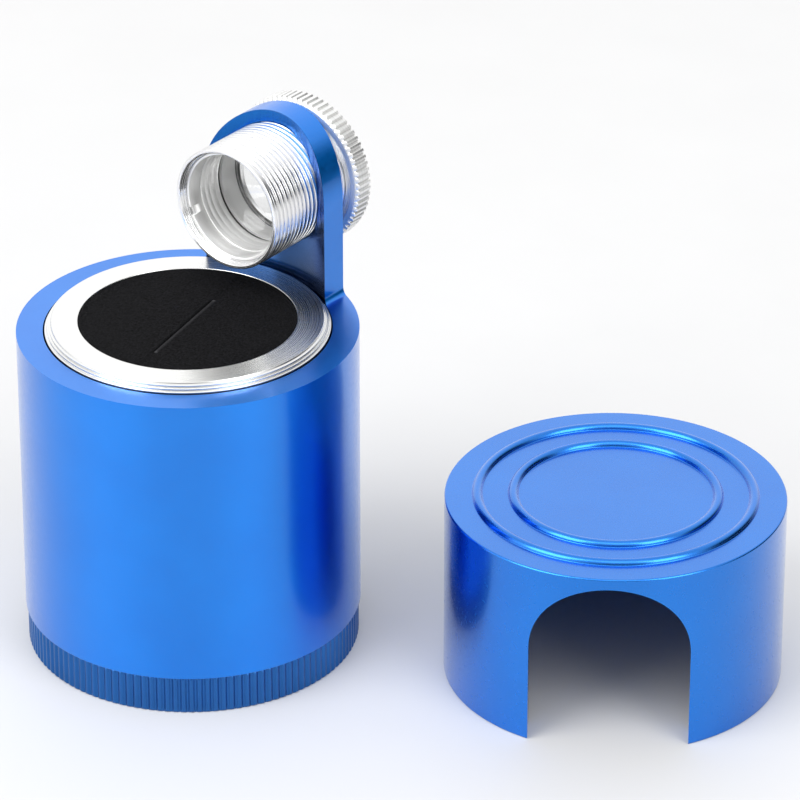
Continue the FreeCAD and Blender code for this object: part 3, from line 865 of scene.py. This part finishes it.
# these pieces keep the CAD's own shape
keptPieces = {
    "base_screws": screwSteel,
    "foot_pad": footRubber,
    "support_disc": discPlastic,
    "stop_ring": ringBrass,
    "lens_spacer": spacerPaintedBright,
}
for name, material in keptPieces.items():
    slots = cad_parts[name].data.materials
    slots.clear()
    slots.append(material)
print("kept pieces finished")


# turn and tilt in degrees; the camera stands at the distance from its aim
camera = {
    "turn": 37.62, "tilt": 28.37, "distance": 789.0, "aim": (20.85, 23.52, 35.45),
    "lens": 240.1, "sensor": 36.0, "clip": (0.05, 20),
}


def wayTo(turn, lift):
    # from the set outwards: degrees to the camera's right, and degrees up
    a, e = math.radians(camera["turn"] + turn), math.radians(lift)
    return Vector((math.sin(a) * math.cos(e), -math.cos(a) * math.cos(e), math.sin(e)))


def standOff(thing, way, aim, distance):
    # puts it this many metres from its aim and turns it to look back
    thing.location = aim + way * distance
    thing.rotation_euler = (-way).to_track_quat("-Z", "Y").to_euler()
    scene.collection.objects.link(thing)


def makeCamera():
    data = bpy.data.cameras.new("camera")
    data.lens, data.sensor_width = camera["lens"], camera["sensor"]
    data.clip_start, data.clip_end = camera["clip"]
    viewer = bpy.data.objects.new("camera", data)
    standOff(viewer, wayTo(0, camera["tilt"]), Vector(camera["aim"]) * mm, camera["distance"] * mm)
    scene.camera = viewer


studio = {
    "floorSize": 6.0,  # metres
    "floorColour": (0.60, 0.60, 0.602),
    "floorShade": 0.985,
    "sky": 1.05,
    # each soft zone: degrees to the camera's right, degrees up, half width, light added or taken away
    "zones": (
        (0, 62, 26, 1.4), (-75, 20, 40, 0.45), (41, 15, 26, 0.35), (102, 5, 42, -1.2), (0, 0, 34, -0.8),
        (180, 30, 50, 0.22),
    ),
    # each light box: power, width and height in metres, degrees to the camera's right, degrees up
    "boxes": {
        "leftBox": (7.6, (0.7, 0.9), -55, 40),
        "rightBox": (4.4, (0.5, 0.8), 42, 35),
    },
    "boxAim": (0.02, 0.02, 0.03),
    "boxDistance": 1.1,  # metres, as is the aim
}


def makeFloor():
    half, colour = studio["floorSize"] / 2, studio["floorColour"]
    corners = [(-half, -half, 0), (half, -half, 0), (half, half, 0), (-half, half, 0)]
    floor = newPiece("floor", corners, [(0, 1, 2, 3)])
    darker = tuple(studio["floorShade"] * c for c in colour)
    paper = plainMaterial("pale paper", colour, darker, roughness=(0.6, 0.7), grain=40.0, depth=0.001)
    floor.data.materials.append(paper)


def makeSky():
    world = bpy.data.worlds.new("studio")
    scene.world = world
    world.use_nodes = True
    look = nodeOf(world, "ShaderNodeTexCoord").outputs["Generated"]
    total = studio["sky"]
    for turn, lift, half, amount in studio["zones"]:
        facing = nodeOf(world, "ShaderNodeVectorMath", operation="DOT_PRODUCT")
        feed(world, facing.inputs[0], look)
        feed(world, facing.inputs[1], wayTo(turn, lift))
        zone = nodeOf(world, "ShaderNodeMapRange", interpolation_type="SMOOTHSTEP")
        rim = math.cos(math.radians(half))
        for index, value in enumerate((facing.outputs["Value"], rim, 1.0, 0.0, amount)):
            feed(world, zone.inputs[index], value)
        total = mathNode(world, "ADD", zone.outputs[0], total)
    sky = world.node_tree.nodes["Background"]
    sky.inputs["Color"].default_value = (1, 1, 1, 1)
    feed(world, sky.inputs["Strength"], mathNode(world, "MAXIMUM", total, 0.0))


def makeLight():
    makeSky()
    for name, (power, size, turn, lift) in studio["boxes"].items():
        data = bpy.data.lights.new(name, "AREA")
        data.energy, data.shape, data.size, data.size_y = power, "RECTANGLE", size[0], size[1]
        box = bpy.data.objects.new(name, data)
        standOff(box, wayTo(turn, lift), Vector(studio["boxAim"]), studio["boxDistance"])
    scene.view_settings.view_transform = "Standard"


makeCamera()
makeFloor()
makeLight()
print("studio ready")
